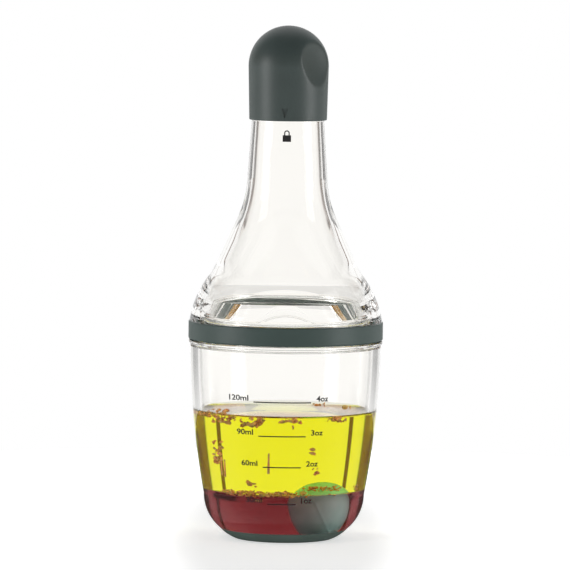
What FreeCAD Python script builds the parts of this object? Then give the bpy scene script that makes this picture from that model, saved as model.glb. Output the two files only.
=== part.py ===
import FreeCAD, Part
import math
import os
import re
import Sketcher

# Driving sizes of the shaker bottle, in millimetres and degrees
SIZES = {
    # foot
    "foot_base_radius": 17.8,
    "foot_top_radius": 23.1,
    "foot_height": 3.6,
    "foot_floor": 1.6,
    "foot_lip": 1.6,
    "foot_round": 14.0,
    # cup
    "cup_floor": 3.0,
    "cup_wall": 3.1,
    "cup_waist_radius": 28.9,
    "cup_waist_height": 16.0,
    "cup_corner_round": 16.0,
    "cup_bowl_round": 12.5,
    "cup_floor_radius": 14.5,
    "cup_top_radius": 34.4,
    "cup_height": 71.5,
    "cup_side_round": 318.0,
    "flange_proud": 0.5,
    "flange_height": 1.1,
    "flange_round": 0.4,
    "collar_inset": 4.6,
    "collar_wall": 3.0,
    "collar_height": 6.5,
    "rim_round": 0.6,
    "shelf_depth": 2.4,
    "shelf_round": 0.6,
    # screw thread between the cup and the neck
    "thread_lead": 3.0,
    "thread_depth": 1.1,
    "thread_play": 0.5,
    "thread_root_width": 1.3,
    "thread_crest_width": 0.7,
    "thread_sink": 0.3,
    "cup_thread_start": 2.5,
    "cup_thread_margin": 1.0,
    "neck_thread_margin": 2.2,
    # collar band and neck
    "seat_gap": 0.3,
    "fit_clearance": 0.1,
    "band_proud": 0.6,
    "band_height": 6.6,
    "band_round": 0.5,
    "skirt_wall": 1.9,
    "shoulder_step": 0.3,
    "dome_round": 37.0,
    "dome_rise": 18.1,
    "dome_inset": 8.1,
    "inner_dome_round": 18.0,
    "inner_dome_drop": 10.9,
    "bend_drop": 1.9,
    "bend_out": 1.5,
    "bend_rise": 2.9,
    "bend_in": 1.3,
    "bend_round": 25.0,
    "inner_bend_drop": 1.7,
    "inner_bend_out": 1.5,
    "inner_bend_rise": 3.3,
    "inner_bend_in": 1.55,
    "inner_bend_round": 27.0,
    "flare_rise": 25.5,
    "flare_wall": 3.0,
    "throat_swell": 1.9,
    "throat_round": 37.0,
    "inner_throat_round": 60.0,
    "inner_throat_drop": 4.0,
    "neck_rise": 28.4,
    "neck_top_radius": 13.0,
    "neck_wall": 1.8,
    "bore_inset": 1.3,
    "relief_depth": 1.0,
    "lip_cover": 0.4,
    # ring gasket between the cup's rim and the neck
    "gasket_over": 0.1,
    "gasket_height": 1.2,
    "gasket_lip_reach": 0.3,
    "gasket_lip_thickness": 0.8,
    # threaded finish at the top of the neck
    "finish_inset": 2.1,
    "finish_wall": 1.5,
    "finish_height": 13.6,
    "finish_drop": 1.6,
    "finish_funnel": 1.2,
    "cap_thread_lead": 8.0,
    "cap_thread_starts": 2,
    "cap_thread_turns": 0.4167,
    "cap_thread_depth": 0.7,
    "cap_thread_play": 0.3,
    "cap_thread_root_width": 1.5,
    "cap_thread_crest_width": 0.9,
    "cap_thread_start": 7.0,
    # pouring spout
    "spout_plug_depth": 6.0,
    "spout_wall": 1.2,
    "spout_plate": 1.2,
    "spout_inset": 0.2,
    "nozzle_bore": 3.4,
    "nozzle_wall": 1.2,
    "nozzle_rise": 5.0,
    "nozzle_lip": 0.7,
    "nozzle_lip_height": 0.8,
    "drain_radius": 0.9,
    "drain_circle": 6.4,
    "drain_count": 6,
    # cap
    "cap_height": 33.8,
    "cap_overhang": 0.95,
    "cap_lap": 2.8,
    "cap_skirt_play": 0.15,
    "cap_swell": 0.45,
    "cap_edge_round": 0.3,
    "cap_dome_rise": 14.4,
    "cap_crown": 4.5,
    "cap_shoulder_wall": 4.9,
    "cap_cavity_drop": 0.7,
    "cap_cavity_skirt": 3.2,
    "lock_angle": -5.0,
    "pointer_width": 2.4,
    "pointer_height": 3.6,
    "pointer_lift": 0.9,
    "pointer_depth": 0.4,
    "scoop_round": 40.0,
    "scoop_depth": 2.4,
    "scoop_lift": 20.3,
    "scoop_tilt": 10.0,
    "scoop_azimuth": 49.0,
    "scoop_count": 2,
    # threaded liner and seal inside the cap
    "liner_wall": 0.8,
    "liner_inset": 0.6,
    "liner_sleeve": 10.6,
    "liner_clearance": 0.4,
    "liner_top": 1.2,
    "seal_radius": 5.9,
    "seal_thickness": 2.0,
    "seal_clearance": 0.3,
    "seal_grip": 1.8,
    # mixing ball
    "ball_radius": 9.0,
    "ball_inset": 4.5,
    "ball_front": 3.5,
    "ball_gap": 0.2,
}

# Heights and radii that several pieces share, as formulas of the sizes
SEAT_TOP = "foot_top_radius - foot_lip"
SEAT_FOOT = "foot_base_radius - foot_lip"
CUP_BED = "foot_floor + cup_floor"
CUP_BORE = "cup_top_radius - cup_wall"
COLLAR = "cup_top_radius - collar_inset"
COLLAR_BORE = f"{COLLAR} - collar_wall"
RIM = "cup_height + collar_height"
SHELF = "cup_height - shelf_depth"
CUP_THREAD = "cup_height + cup_thread_start"
NECK_THREAD = f"{CUP_THREAD} - thread_lead / 2"
SKIRT_BORE = f"{COLLAR} + thread_depth + thread_play"
SKIRT_FOOT = "cup_height + seat_gap"
REBATE = f"{SKIRT_BORE} + skirt_wall"
BAND_RADIUS = "cup_top_radius + band_proud"
BAND_TOP = f"{SKIRT_FOOT} + band_height"
GASKET_RADIUS = f"{COLLAR} + gasket_over"
GASKET_LIP = f"{COLLAR_BORE} - gasket_lip_reach"
GASKET_TOP = f"{RIM} + gasket_height"
NECK_BORE = f"{COLLAR} - bore_inset"
RELIEF_TOP = f"{GASKET_TOP} + relief_depth"
DOME_RADIUS = "cup_top_radius - dome_inset"
DOME_TOP = f"{BAND_TOP} + dome_rise"
THROAT_RADIUS = "neck_top_radius + throat_swell"
THROAT = f"{DOME_TOP} + flare_rise"
LEDGE = f"{THROAT} + neck_rise"
TUBE_TOP = f"{LEDGE} + cap_lap"
FINISH = "neck_top_radius - finish_inset"
FINISH_BORE = f"{FINISH} - finish_wall"
MOUTH = f"{LEDGE} + finish_height"
NOZZLE_TOP = f"{MOUTH} + nozzle_rise"
SPOUT_FLANGE = f"{FINISH} - spout_inset"
SEAL_TOP = f"{NOZZLE_TOP} + seal_thickness"
LINER_BORE = f"{FINISH} + cap_thread_depth + cap_thread_play"
LINER_RADIUS = f"{LINER_BORE} + liner_wall"
LINER_SHOULDER = f"{SPOUT_FLANGE} + liner_clearance"
LINER_STEP = f"{MOUTH} + spout_plate + liner_clearance"
LINER_TOP = f"{SEAL_TOP} + liner_top"
CAP_EDGE = "neck_top_radius + cap_overhang"
CAP_RADIUS = f"{CAP_EDGE} + cap_swell"
CAP_FOOT = f"{LEDGE} + seat_gap"
CAP_TOP = f"{CAP_FOOT} + cap_height"

CONVEX = 1
CONCAVE = -1

doc = FreeCAD.newDocument("ShakerBottle")
sheet = doc.addObject("Spreadsheet::Sheet", "Sizes")
for row, (alias, size) in enumerate(SIZES.items(), start=1):
    sheet.set(f"A{row}", alias)
    sheet.set(f"B{row}", str(size))
    sheet.setAlias(f"B{row}", alias)
doc.recompute()


def formula(text):
    """The text with each size's name turned into its cell."""
    return re.sub(r"[a-z_]+", lambda word: f"Sizes.{word[0]}" if word[0] in SIZES else word[0], text)


def value(text):
    """The number that a formula of the sizes has now."""
    return float(sheet.evalExpression(formula(text)))


def bind(thing, prop, text):
    thing.setExpression(prop, formula(text))


def make_body(label):
    body = doc.addObject("PartDesign::Body", label)
    body.Label = label
    return body


def make_sketch(body, name, role):
    sketch = body.newObject("Sketcher::SketchObject", name)
    plane = next(item for item in body.Origin.OriginFeatures if item.Role == role)
    sketch.AttachmentSupport = [(plane, "")]
    sketch.MapMode = "FlatFace"
    return sketch


def origin_axis(body, role):
    return next(item for item in body.Origin.OriginFeatures if item.Role == role)


def corner(across, up, rounding=None, bulge=None, side=CONVEX):
    """A corner of a profile, with its rounding and the arc radius of the edge that leaves it."""
    return {"across": across, "up": up, "rounding": rounding, "bulge": bulge, "side": side}


def add_edge(sketch, start, end, bulge, side):
    """Add a line, or an arc of radius bulge, and give its id and the ids of its two ends."""
    if bulge is None:
        return sketch.addGeometry(Part.LineSegment(start, end), False), 1, 2
    radius = value(bulge)
    chord = end - start
    inward = FreeCAD.Vector(-chord.y, chord.x, 0).normalize() * side
    centre = (start + end) * 0.5 + inward * math.sqrt(radius ** 2 - chord.Length ** 2 / 4)
    first, last = (start, end) if side == CONVEX else (end, start)
    angles = [math.atan2((point - centre).y, (point - centre).x) for point in (first, last)]
    circle = Part.Circle(centre, FreeCAD.Vector(0, 0, 1), radius)
    edge = sketch.addGeometry(Part.ArcOfCircle(circle, *angles), False)
    pin_radius(sketch, edge, bulge)
    return (edge, 1, 2) if side == CONVEX else (edge, 2, 1)


def pin_radius(sketch, edge, radius):
    index = sketch.addConstraint(Sketcher.Constraint("Radius", edge, value(radius)))
    bind(sketch, f"Constraints[{index}]", radius)


def pin_point(sketch, edge, end, across, up):
    """Hold one point of the sketch at its named distances from the origin."""
    for kind, text, axis in (("DistanceX", across, -2), ("DistanceY", up, -1)):
        if text == "0":
            sketch.addConstraint(Sketcher.Constraint("PointOnObject", edge, end, axis))
        else:
            index = sketch.addConstraint(Sketcher.Constraint(kind, -1, 1, edge, end, value(text)))
            bind(sketch, f"Constraints[{index}]", text)


def draw_profile(sketch, corners):
    """Draw a closed profile, anticlockwise, held by its corners, roundings and arc radii."""
    count = len(corners)
    points = [FreeCAD.Vector(value(item["across"]), value(item["up"]), 0) for item in corners]
    entries = list(points)
    exits = list(points)
    for here, item in enumerate(corners):
        if item["rounding"] is None:
            continue
        back = (points[here - 1] - points[here]).normalize()
        ahead = (points[(here + 1) % count] - points[here]).normalize()
        reach = value(item["rounding"]) / math.tan(back.getAngle(ahead) / 2)
        entries[here] = points[here] + back * reach
        exits[here] = points[here] + ahead * reach
    edges = []
    for here, item in enumerate(corners):
        edges.append(add_edge(sketch, exits[here], entries[(here + 1) % count], item["bulge"], item["side"]))
    for here, item in enumerate(corners):
        before, before_start, before_end = edges[here - 1]
        after, after_start, after_end = edges[here]
        if item["rounding"] is None:
            joint = Sketcher.Constraint("Coincident", before, before_end, after, after_start)
            sketch.addConstraint(joint)
            pin_point(sketch, after, after_start, item["across"], item["up"])
            continue
        apex = sketch.addGeometry(Part.Point(points[here]), True)
        pin_point(sketch, apex, 1, item["across"], item["up"])
        sketch.addConstraint(Sketcher.Constraint("PointOnObject", apex, 1, before))
        sketch.addConstraint(Sketcher.Constraint("PointOnObject", apex, 1, after))
        turn = (points[here] - entries[here]).cross(exits[here] - points[here]).z
        side = CONVEX if turn > 0 else CONCAVE
        arc, arc_start, arc_end = add_edge(sketch, entries[here], exits[here], item["rounding"], side)
        sketch.addConstraint(Sketcher.Constraint("Tangent", before, before_end, arc, arc_start))
        sketch.addConstraint(Sketcher.Constraint("Tangent", arc, arc_end, after, after_start))
    if sketch.solve() != 0:
        raise RuntimeError(f"profile {sketch.Label} can't be solved")


def turned_body(label, corners):
    """A body turned about the bottle's axis from one profile."""
    body = make_body(label)
    sketch = make_sketch(body, f"{label}_profile", "XZ_Plane")
    draw_profile(sketch, corners)
    turning = body.newObject("PartDesign::Revolution", f"{label}_turning")
    turning.Profile = sketch
    turning.ReferenceAxis = (sketch, ["V_Axis"])
    turning.Angle = 360
    doc.recompute()
    return body


def add_pattern(body, feature, count):
    """Repeat a feature evenly about the bottle's axis."""
    pattern = body.newObject("PartDesign::PolarPattern", f"{feature.Label}_ring")
    pattern.Originals = [feature]
    pattern.Axis = (origin_axis(body, "Z_Axis"), [""])
    pattern.Angle = 360
    bind(pattern, "Occurrences", count)
    body.Tip = pattern
    doc.recompute()


def add_thread(body, root, crest, height, widths, lead, turns, starts=None):
    """Wind a screw ridge from root to crest, with its middle line starting at a height."""
    root_width, crest_width = widths
    name = f"{body.Label}_thread_{len(body.Group)}"
    sketch = make_sketch(body, f"{name}_section", "XZ_Plane")
    section = [
        corner(root, f"{height} - {root_width} / 2"),
        corner(crest, f"{height} - {crest_width} / 2"),
        corner(crest, f"{height} + {crest_width} / 2"),
        corner(root, f"{height} + {root_width} / 2"),
    ]
    if value(crest) < value(root):
        section.reverse()
    draw_profile(sketch, section)
    ridge = body.newObject("PartDesign::AdditiveHelix", name)
    ridge.Profile = sketch
    ridge.ReferenceAxis = (sketch, ["V_Axis"])
    ridge.Mode = "pitch-turns-angle"
    bind(ridge, "Pitch", lead)
    bind(ridge, "Turns", turns)
    doc.recompute()
    if starts is not None:
        add_pattern(body, ridge, starts)


def check_change(body, before, grows):
    """Stop when a feature did not change the body the way that it should."""
    change = body.Shape.Volume - before
    if change == 0 or (change > 0) != grows:
        raise RuntimeError(f"{body.Label} changed by {change:.3f} mm3")


def make_foot():
    return turned_body("foot", [
        corner("0", "0"),
        corner("foot_base_radius", "0", bulge="foot_round"),
        corner("foot_top_radius", "foot_height"),
        corner(f"{SEAT_TOP} + fit_clearance", "foot_height"),
        corner(f"{SEAT_FOOT} + fit_clearance", "foot_floor"),
        corner("0", "foot_floor"),
    ])


def make_cup():
    flange = "cup_top_radius + flange_proud"
    flange_foot = "cup_height - flange_height"
    body = turned_body("cup", [
        corner("0", "foot_floor"),
        corner(SEAT_FOOT, "foot_floor"),
        corner(SEAT_TOP, "foot_height"),
        corner("foot_top_radius", "foot_height", bulge="cup_corner_round"),
        corner("cup_waist_radius", "cup_waist_height", bulge="cup_side_round"),
        corner("cup_top_radius", flange_foot),
        corner(flange, flange_foot, rounding="flange_round"),
        corner(flange, "cup_height", rounding="flange_round"),
        corner(COLLAR, "cup_height"),
        corner(COLLAR, RIM, rounding="rim_round"),
        corner(COLLAR_BORE, RIM, rounding="rim_round"),
        corner(COLLAR_BORE, SHELF, rounding="shelf_round"),
        corner(CUP_BORE, SHELF, bulge="cup_side_round", side=CONCAVE),
        corner("cup_waist_radius - cup_wall", "cup_waist_height", bulge="cup_bowl_round", side=CONCAVE),
        corner("cup_floor_radius", CUP_BED),
        corner("0", CUP_BED),
    ])
    before = body.Shape.Volume
    add_thread(
        body, f"{COLLAR} - thread_sink", f"{COLLAR} + thread_depth", CUP_THREAD,
        ("thread_root_width", "thread_crest_width"), "thread_lead",
        f"({RIM} - cup_thread_margin - ({CUP_THREAD})) / thread_lead",
    )
    check_change(body, before, True)
    return body


def make_neck():
    shoulder = f"{BAND_RADIUS} - shoulder_step"
    lip = f"{GASKET_RADIUS} + lip_cover"
    funnel_foot = f"{TUBE_TOP} - finish_drop"
    flare_foot = f"{DOME_RADIUS} - flare_wall"
    body = turned_body("neck", [
        corner(SKIRT_BORE, SKIRT_FOOT),
        corner(REBATE, SKIRT_FOOT),
        corner(REBATE, BAND_TOP),
        corner(shoulder, BAND_TOP, bulge="dome_round"),
        corner(f"{DOME_RADIUS} + bend_out", f"{DOME_TOP} - bend_drop", bulge="bend_round", side=CONCAVE),
        corner(f"{DOME_RADIUS} - bend_in", f"{DOME_TOP} + bend_rise"),
        corner(THROAT_RADIUS, THROAT, rounding="throat_round"),
        corner("neck_top_radius", LEDGE),
        corner("neck_top_radius", TUBE_TOP),
        corner(FINISH, TUBE_TOP),
        corner(FINISH, MOUTH),
        corner(FINISH_BORE, MOUTH),
        corner(FINISH_BORE, f"{TUBE_TOP} + finish_funnel"),
        corner("neck_top_radius - neck_wall", funnel_foot),
        corner(f"{THROAT_RADIUS} - neck_wall", f"{THROAT} - inner_throat_drop",
               rounding="inner_throat_round"),
        corner(f"{flare_foot} - inner_bend_in", f"{DOME_TOP} + inner_bend_rise", bulge="inner_bend_round"),
        corner(f"{flare_foot} + inner_bend_out", f"{DOME_TOP} - inner_bend_drop",
               bulge="inner_dome_round", side=CONCAVE),
        corner(NECK_BORE, f"{DOME_TOP} - inner_dome_drop"),
        corner(NECK_BORE, GASKET_TOP),
        corner(lip, GASKET_TOP),
        corner(lip, RELIEF_TOP),
        corner(SKIRT_BORE, RELIEF_TOP),
    ])
    before = body.Shape.Volume
    add_thread(
        body, f"{SKIRT_BORE} + thread_sink", f"{SKIRT_BORE} - thread_depth",
        NECK_THREAD, ("thread_root_width", "thread_crest_width"), "thread_lead",
        f"({GASKET_TOP} - neck_thread_margin - ({NECK_THREAD})) / thread_lead",
    )
    check_change(body, before, True)
    before = body.Shape.Volume
    add_thread(
        body, f"{FINISH} - thread_sink", f"{FINISH} + cap_thread_depth", f"{LEDGE} + cap_thread_start",
        ("cap_thread_root_width", "cap_thread_crest_width"), "cap_thread_lead", "cap_thread_turns",
        starts="cap_thread_starts",
    )
    check_change(body, before, True)
    return body


def make_band():
    inner = f"{REBATE} + fit_clearance"
    return turned_body("collar_band", [
        corner(inner, SKIRT_FOOT),
        corner(BAND_RADIUS, SKIRT_FOOT, rounding="band_round"),
        corner(BAND_RADIUS, BAND_TOP, rounding="band_round"),
        corner(inner, BAND_TOP),
    ])


def make_gasket():
    return turned_body("neck_gasket", [
        corner(GASKET_LIP, RIM),
        corner(GASKET_RADIUS, RIM),
        corner(GASKET_RADIUS, GASKET_TOP),
        corner(NECK_BORE, GASKET_TOP),
        corner(GASKET_LIP, f"{RIM} + gasket_lip_thickness"),
    ])


def make_spout():
    plug = f"{FINISH_BORE} - fit_clearance"
    nozzle = "nozzle_bore + nozzle_wall"
    plate_top = f"{MOUTH} + spout_plate"
    body = turned_body("pour_spout", [
        corner(f"{plug} - spout_wall", f"{MOUTH} - spout_plug_depth"),
        corner(plug, f"{MOUTH} - spout_plug_depth"),
        corner(plug, MOUTH),
        corner(SPOUT_FLANGE, MOUTH),
        corner(SPOUT_FLANGE, plate_top),
        corner(nozzle, plate_top),
        corner(nozzle, f"{NOZZLE_TOP} - nozzle_lip_height"),
        corner(f"{nozzle} + nozzle_lip", NOZZLE_TOP),
        corner("nozzle_bore", NOZZLE_TOP),
        corner("nozzle_bore", MOUTH),
        corner(f"{plug} - spout_wall", MOUTH),
    ])
    before = body.Shape.Volume
    sketch = make_sketch(body, "drain_circle", "XY_Plane")
    bind(sketch, "AttachmentOffset.Base.z", plate_top)
    hole = sketch.addGeometry(Part.Circle(
        FreeCAD.Vector(value("drain_circle"), 0, 0), FreeCAD.Vector(0, 0, 1), value("drain_radius")), False)
    pin_radius(sketch, hole, "drain_radius")
    pin_point(sketch, hole, 3, "drain_circle", "0")
    drain = body.newObject("PartDesign::Pocket", "drain_hole")
    drain.Profile = sketch
    bind(drain, "Length", "spout_plate")
    doc.recompute()
    add_pattern(body, drain, "drain_count")
    check_change(body, before, False)
    return body


def crown_round(radius, rise):
    """The radius of a dome that is level at its top, from its foot's radius and its rise."""
    return f"({radius} * {radius} + {rise} * {rise}) / (2 * {rise})"


def make_cap_shell():
    skirt = "neck_top_radius + cap_skirt_play"
    skirt_top = f"{CAP_FOOT} + cap_lap"
    bore = f"{LINER_RADIUS} + fit_clearance"
    shoulder = f"{LINER_SHOULDER} + liner_wall + fit_clearance"
    shoulder_height = f"{LINER_STEP} + liner_clearance + fit_clearance"
    cavity = f"({CAP_RADIUS} - cap_shoulder_wall)"
    cavity_top = f"{CAP_TOP} - cap_crown"
    cavity_foot = f"{LINER_TOP} - cap_cavity_drop"
    cavity_rise = f"({cavity_top} - ({cavity_foot}))"
    body = turned_body("cap_shell", [
        corner(skirt, CAP_FOOT),
        corner(CAP_EDGE, CAP_FOOT, rounding="cap_edge_round"),
        corner(CAP_RADIUS, f"{CAP_TOP} - cap_dome_rise",
               bulge=crown_round(f"({CAP_RADIUS})", "cap_dome_rise")),
        corner("0", CAP_TOP),
        corner("0", cavity_top, bulge=crown_round(cavity, cavity_rise), side=CONCAVE),
        corner(cavity, cavity_foot),
        corner(cavity, f"{cavity_foot} - cap_cavity_skirt"),
        corner(shoulder, shoulder_height),
        corner(bore, f"{LEDGE} + liner_sleeve"),
        corner(bore, skirt_top),
        corner(skirt, skirt_top),
    ])
    before = body.Shape.Volume
    add_pointer(body)
    check_change(body, before, False)
    before = body.Shape.Volume
    add_scoops(body)
    check_change(body, before, False)
    bind(body, "Placement.Rotation.Angle", "lock_angle")
    body.Placement = FreeCAD.Placement(
        FreeCAD.Vector(0, 0, 0), FreeCAD.Rotation(FreeCAD.Vector(0, 0, 1), value("lock_angle")))
    return body


def add_pointer(body):
    """Engrave the small pointer, tip down, above the cap's lower edge."""
    sketch = make_sketch(body, "pointer_outline", "XZ_Plane")
    bind(sketch, "AttachmentOffset.Base.z", f"{CAP_EDGE} - pointer_depth")
    tip = f"{CAP_FOOT} + pointer_lift"
    draw_profile(sketch, [
        corner("0", tip),
        corner("pointer_width / 2", f"{tip} + pointer_height"),
        corner("-pointer_width / 2", f"{tip} + pointer_height"),
    ])
    pointer = body.newObject("PartDesign::Pocket", "pointer")
    pointer.Profile = sketch
    pointer.Reversed = True
    bind(pointer, "Length", "cap_swell + 2 * pointer_depth")
    doc.recompute()


def add_scoops(body):
    """Press the finger scoops into the cap's shoulder, turned so that they face as set once locked."""
    scoop = body.newObject("PartDesign::SubtractiveSphere", "finger_scoop")
    bind(scoop, "Radius", "scoop_round")
    reach = f"({CAP_RADIUS} - scoop_depth + scoop_round * cos(scoop_tilt * 1 deg))"
    turn = "((scoop_azimuth - lock_angle) * 1 deg)"
    bind(scoop, "Placement.Base.x", f"{reach} * sin{turn}")
    bind(scoop, "Placement.Base.y", f"-{reach} * cos{turn}")
    bind(scoop, "Placement.Base.z", f"{CAP_FOOT} + scoop_lift + scoop_round * sin(scoop_tilt * 1 deg)")
    doc.recompute()
    add_pattern(body, scoop, "scoop_count")


def make_cap_liner():
    pocket = "seal_radius + seal_clearance"
    pocket_mouth = f"{SEAL_TOP} - seal_grip"
    step = f"{LINER_STEP} + liner_clearance"
    tower = f"{pocket} + liner_wall + liner_clearance"
    sleeve_top = f"{LEDGE} + liner_sleeve"
    sleeve_foot = f"{CAP_FOOT} + cap_lap + liner_inset"
    body = turned_body("cap_liner", [
        corner(LINER_BORE, sleeve_foot),
        corner(LINER_RADIUS, sleeve_foot),
        corner(LINER_RADIUS, sleeve_top),
        corner(f"{LINER_SHOULDER} + liner_wall", step),
        corner(tower, f"{pocket_mouth} + liner_clearance"),
        corner(tower, LINER_TOP),
        corner("0", LINER_TOP),
        corner("0", SEAL_TOP),
        corner(pocket, SEAL_TOP),
        corner(pocket, pocket_mouth),
        corner(LINER_SHOULDER, LINER_STEP),
        corner(LINER_BORE, sleeve_top),
    ])
    before = body.Shape.Volume
    add_thread(
        body, f"{LINER_BORE} + thread_sink", f"{LINER_BORE} - cap_thread_depth",
        f"{LEDGE} + cap_thread_start - cap_thread_lead / cap_thread_starts / 2",
        ("cap_thread_root_width", "cap_thread_crest_width"), "cap_thread_lead", "cap_thread_turns",
        starts="cap_thread_starts",
    )
    check_change(body, before, True)
    return body


def make_cap_seal():
    return turned_body("cap_seal", [
        corner("0", NOZZLE_TOP),
        corner("seal_radius", NOZZLE_TOP),
        corner("seal_radius", SEAL_TOP),
        corner("0", SEAL_TOP),
    ])


def make_ball():
    ball = doc.addObject("Part::Sphere", "mixing_ball")
    ball.Label = "mixing_ball"
    bind(ball, "Radius", "ball_radius")
    bind(ball, "Placement.Base.x", "cup_floor_radius - ball_inset")
    bind(ball, "Placement.Base.y", "-ball_front")
    bind(ball, "Placement.Base.z", f"{CUP_BED} + ball_gap + ball_radius")
    return ball


pieces = [
    make_foot(),
    make_cup(),
    make_neck(),
    make_band(),
    make_gasket(),
    make_spout(),
    make_cap_shell(),
    make_cap_liner(),
    make_cap_seal(),
    make_ball(),
]
doc.recompute()

for item in doc.Objects:
    if "Invalid" in item.State or "Error" in item.State:
        raise RuntimeError(f"{item.Label} failed: {item.State}")
for piece in pieces:
    if piece.Shape.isNull() or not piece.Shape.isValid() or len(piece.Shape.Solids) != 1:
        raise RuntimeError(f"{piece.Label} is not one sound solid")

os.makedirs("parts", exist_ok=True)
for piece in pieces:
    piece.Shape.exportStep(f"parts/{piece.Label}.step")
    box = piece.Shape.BoundBox
    print(f"{piece.Label}: {piece.Shape.Volume:.1f} mm3, z {box.ZMin:.2f} to {box.ZMax:.2f}")
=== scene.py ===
"""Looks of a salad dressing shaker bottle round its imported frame: clear shells, cap, dressing and prints."""
import math
import random
from functools import partial

import bmesh
import bpy
from mathutils import Matrix, Vector


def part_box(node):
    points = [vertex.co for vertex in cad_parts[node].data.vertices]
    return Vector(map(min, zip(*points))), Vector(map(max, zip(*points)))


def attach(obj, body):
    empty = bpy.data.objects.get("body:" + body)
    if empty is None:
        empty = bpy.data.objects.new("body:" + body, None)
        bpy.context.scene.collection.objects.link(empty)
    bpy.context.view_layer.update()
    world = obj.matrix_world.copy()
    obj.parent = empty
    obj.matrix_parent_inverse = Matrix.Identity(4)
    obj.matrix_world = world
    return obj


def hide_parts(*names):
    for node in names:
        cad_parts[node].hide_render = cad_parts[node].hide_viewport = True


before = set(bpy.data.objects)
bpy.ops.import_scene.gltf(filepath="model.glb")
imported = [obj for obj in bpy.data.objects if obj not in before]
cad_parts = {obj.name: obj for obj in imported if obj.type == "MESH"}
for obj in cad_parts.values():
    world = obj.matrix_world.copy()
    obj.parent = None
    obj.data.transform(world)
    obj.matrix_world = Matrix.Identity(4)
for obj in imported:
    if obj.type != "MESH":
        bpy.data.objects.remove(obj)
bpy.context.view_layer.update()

bl_info = {
    "name": "Shaker bottle looks",
    "version": (1, 0, 0),
    "blender": (4, 5, 0),
    "location": "3D View > Sidebar > Bottle",
    "description": "Dresses the shaker bottle's frame with clear shells, closures, dressing and prints",
    "category": "Mesh",
}

MM = 0.001
TURN = 2 * math.pi
ARC_SLACK = 0.006 * MM
SUPPORT = 0.25 * MM
MERGE = 0.001 * MM
SHARP_EDGE = math.radians(32)
WHITE = (1.0, 1.0, 1.0)


def reach(node):
    """The largest radius of a frame node about the bottle's axis."""
    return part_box(node)[1].x


def foot_of(node):
    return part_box(node)[0].z


def top_of(node):
    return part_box(node)[1].z


# Properties that a user would change, in rows of kind, default and description

length = partial(bpy.props.FloatProperty, unit="LENGTH", subtype="DISTANCE", precision=5)
number = partial(bpy.props.FloatProperty, min=0.0)
factor = partial(bpy.props.FloatProperty, min=0.0, max=1.0, subtype="FACTOR")
count = partial(bpy.props.IntProperty, min=0)
colour = partial(bpy.props.FloatVectorProperty, size=3, min=0.0, max=1.0, subtype="COLOR")


def mm(default, **words):
    return length(default=default * MM, **words)


def angle(default, **words):
    return bpy.props.FloatProperty(default=math.radians(default), unit="ROTATION", subtype="ANGLE", **words)


def with_properties(group):
    """Make a group's rows into properties, each with its row's name in plain words."""
    for key, (kind, default, text) in group.__annotations__.items():
        name = key.replace("_", " ").capitalize()
        group.__annotations__[key] = kind(name=name, description=text, default=default)
    return group


@with_properties
class CupSizes(bpy.types.PropertyGroup):
    """The clear cup and the foot under it."""

    foot_base: (mm, 17.8, "Radius of the foot where it stands")
    foot_radius: (length, reach("foot"), "Radius of the foot's upper edge")
    foot_height: (length, top_of("foot"), "Height of the foot's upper edge")
    foot_round: (mm, 14.0, "Radius of the foot's curved side")
    foot_lip: (mm, 1.6, "Width of the foot's lip round the cup")
    seat_play: (mm, 0.1, "Gap between the foot's lip and the cup")
    bed: (length, foot_of("cup"), "Height of the cup's underside")
    floor: (mm, 3.0, "Thickness of the cup's floor")
    wall: (mm, 3.1, "Thickness of the cup's side")
    waist: (mm, 28.9, "Outer radius where the rounded bottom meets the side")
    waist_height: (mm, 16.0, "Height where the rounded bottom meets the side")
    corner_round: (mm, 16.0, "Outer radius of the rounded bottom")
    bowl_round: (mm, 12.5, "Inner radius of the rounded bottom")
    floor_radius: (mm, 14.5, "Radius of the flat inner floor")
    side_round: (mm, 318.0, "Radius of the side's gentle bow")
    flange: (length, reach("cup"), "Radius of the bead under the band")
    flange_proud: (mm, 0.5, "How far the bead stands out from the side")
    flange_top: (mm, 71.5, "Height of the bead's upper face")
    flange_height: (mm, 1.1, "Height of the bead")
    flange_round: (mm, 0.4, "Rounding of the bead")
    collar_inset: (mm, 4.6, "How far the threaded collar stands in from the side")
    collar_wall: (mm, 3.0, "Thickness of the threaded collar")
    rim: (length, top_of("cup"), "Height of the cup's rim")
    rim_round: (mm, 0.6, "Rounding of the rim")
    shelf_depth: (mm, 2.4, "Depth of the inner shelf below the bead's upper face")
    shelf_round: (mm, 0.6, "Rounding of the inner shelf's edge")


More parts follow.
